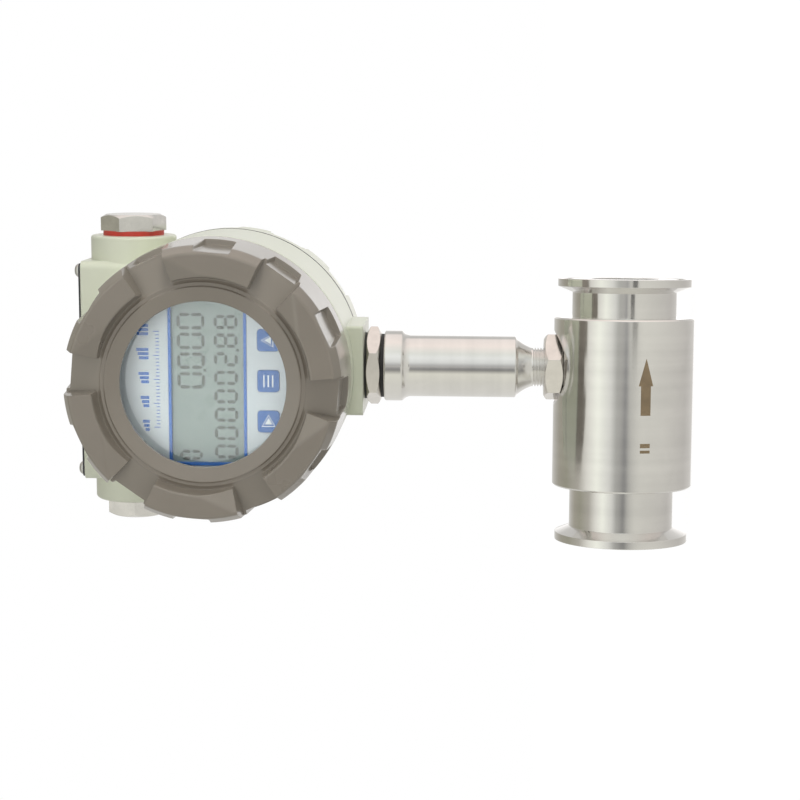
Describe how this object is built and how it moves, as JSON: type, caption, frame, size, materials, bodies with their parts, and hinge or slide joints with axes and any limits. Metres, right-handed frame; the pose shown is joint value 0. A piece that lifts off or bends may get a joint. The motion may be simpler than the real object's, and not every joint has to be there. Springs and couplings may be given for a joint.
{
  "type": "turbine flow meter",
  "caption": "Turbine flow meter: clamp-ferrule pipe body with an internal rotor, a stem, and a round display head with screwed covers.",
  "frame": {"origin": "centre of the inlet ferrule's sealing face, on the pipe axis", "axes": "+X along the flow, +Z from the pipe axis up to the head, -Y towards the reader of the display"},
  "size_m": [0.1239, 0.1102, 0.2342],
  "materials": {
    "body_steel": "turned, fine circular lay",
    "stem_steel": "turned, polished",
    "nut_steel": "milled flats, nickel sheen",
    "plug_nickel": "nickel plated",
    "cream_paint": "semi-gloss powder coat on aluminium casting",
    "taupe_paint": "satin powder coat on aluminium casting",
    "black_rubber": "matt",
    "red_rubber": "matt",
    "window_glass": "clear toughened",
    "panel_film": "printed film",
    "frame_blue": "printed blue",
    "lcd_glass": "reflective liquid crystal",
    "key_blue": "blue key film",
    "board_green": "solder mask",
    "backlight_white": "diffuser block",
    "switch_black": "moulded",
    "pillar_brass": "turned",
    "screw_steel": "bright",
    "plate_black": "blank anodised look",
    "terminal_grey": "moulded",
    "rotor_steel": "ferritic steel",
    "guide_steel": "machined",
    "bearing_carbide": "ground carbide",
    "spring_steel": "oiled spring steel",
    "coil_copper": "enamelled wire",
    "magnet_dark": "sintered magnet"
  },
  "bodies": {
    "meter": {"meter_body": "body_steel", "inlet_straightener": "guide_steel", "outlet_straightener": "guide_steel", "inlet_bearing": "bearing_carbide", "outlet_bearing": "bearing_carbide", "inlet_circlip": "spring_steel", "outlet_circlip": "spring_steel", "stem_tube": "stem_steel", "stem_lock_nut": "nut_steel", "head_lock_nut": "nut_steel", "stem_seal": "black_rubber", "pickup_pole": "magnet_dark", "pickup_coil": "coil_copper", "pickup_magnet": "magnet_dark"},
    "rotor": {"rotor": "rotor_steel", "rotor_shaft": "guide_steel"},
    "head": {"housing": "cream_paint", "blank_plate": "plate_black", "plate_screws": "screw_steel", "outlet_side_plug": "plug_nickel", "red_washer": "red_rubber", "inlet_side_plug": "plug_nickel", "dark_washer": "black_rubber", "board_pillars": "pillar_brass", "display_board": "board_green", "panel_pillars": "pillar_brass", "display_panel": "panel_film", "lcd_frame": "frame_blue", "lcd_glass": "lcd_glass", "lcd_backlight": "backlight_white", "panel_screws": "screw_steel", "key_switches": "switch_black", "terminal_block": "terminal_grey", "terminal_screws": "screw_steel"},
    "key_up": {"key_up": "key_blue"},
    "key_menu": {"key_menu": "key_blue"},
    "key_next": {"key_next": "key_blue"},
    "front_seal_ring": {"front_seal": "black_rubber"},
    "front_cover": {"front_cover": "taupe_paint", "window_gasket": "black_rubber", "window_glass": "window_glass", "window_ring": "spring_steel"},
    "rear_seal_ring": {"rear_seal": "black_rubber"},
    "rear_cover": {"rear_cover": "cream_paint"}
  },
  "joints": [
    {"name": "rotor_spin", "type": "hinge", "parent": "meter", "child": "rotor", "pos_m": [0.066, 0, 0], "axis": [1, 0, 0], "continuous": true},
    {"name": "head_swivel", "type": "hinge", "parent": "meter", "child": "head", "pos_m": [0.066, 0, 0.1], "axis": [0, 0, 1], "range_deg": [-90, 90]},
    {"name": "key_up_press", "type": "slide", "parent": "head", "child": "key_up", "axis": [0.0663, 0.9978, 0], "range_m": [0, 0.0004], "stiffness_N_per_m": 900},
    {"name": "key_menu_press", "type": "slide", "parent": "head", "child": "key_menu", "axis": [0.0663, 0.9978, 0], "range_m": [0, 0.0004], "stiffness_N_per_m": 900},
    {"name": "key_next_press", "type": "slide", "parent": "head", "child": "key_next", "axis": [0.0663, 0.9978, 0], "range_m": [0, 0.0004], "stiffness_N_per_m": 900},
    {"name": "front_cover_travel", "type": "slide", "parent": "head", "child": "front_seal_ring", "axis": [-0.0663, -0.9978, 0], "range_m": [0, 0.0101]},
    {"name": "front_cover_turn", "type": "hinge", "parent": "front_seal_ring", "child": "front_cover", "pos_m": [0.066, 0, 0.153], "axis": [-0.0663, -0.9978, 0], "range_deg": [0, 1800]},
    {"name": "rear_cover_travel", "type": "slide", "parent": "head", "child": "rear_seal_ring", "axis": [0.0663, 0.9978, 0], "range_m": [0, 0.0101]},
    {"name": "rear_cover_turn", "type": "hinge", "parent": "rear_seal_ring", "child": "rear_cover", "pos_m": [0.066, 0, 0.153], "axis": [0.0663, 0.9978, 0], "range_deg": [0, 1800]}
  ],
  "couplings": [
    {"joint": "front_cover_travel", "follows": "front_cover_turn", "m_per_rad": 0.00031831},
    {"joint": "rear_cover_travel", "follows": "rear_cover_turn", "m_per_rad": 0.00031831}
  ]
}
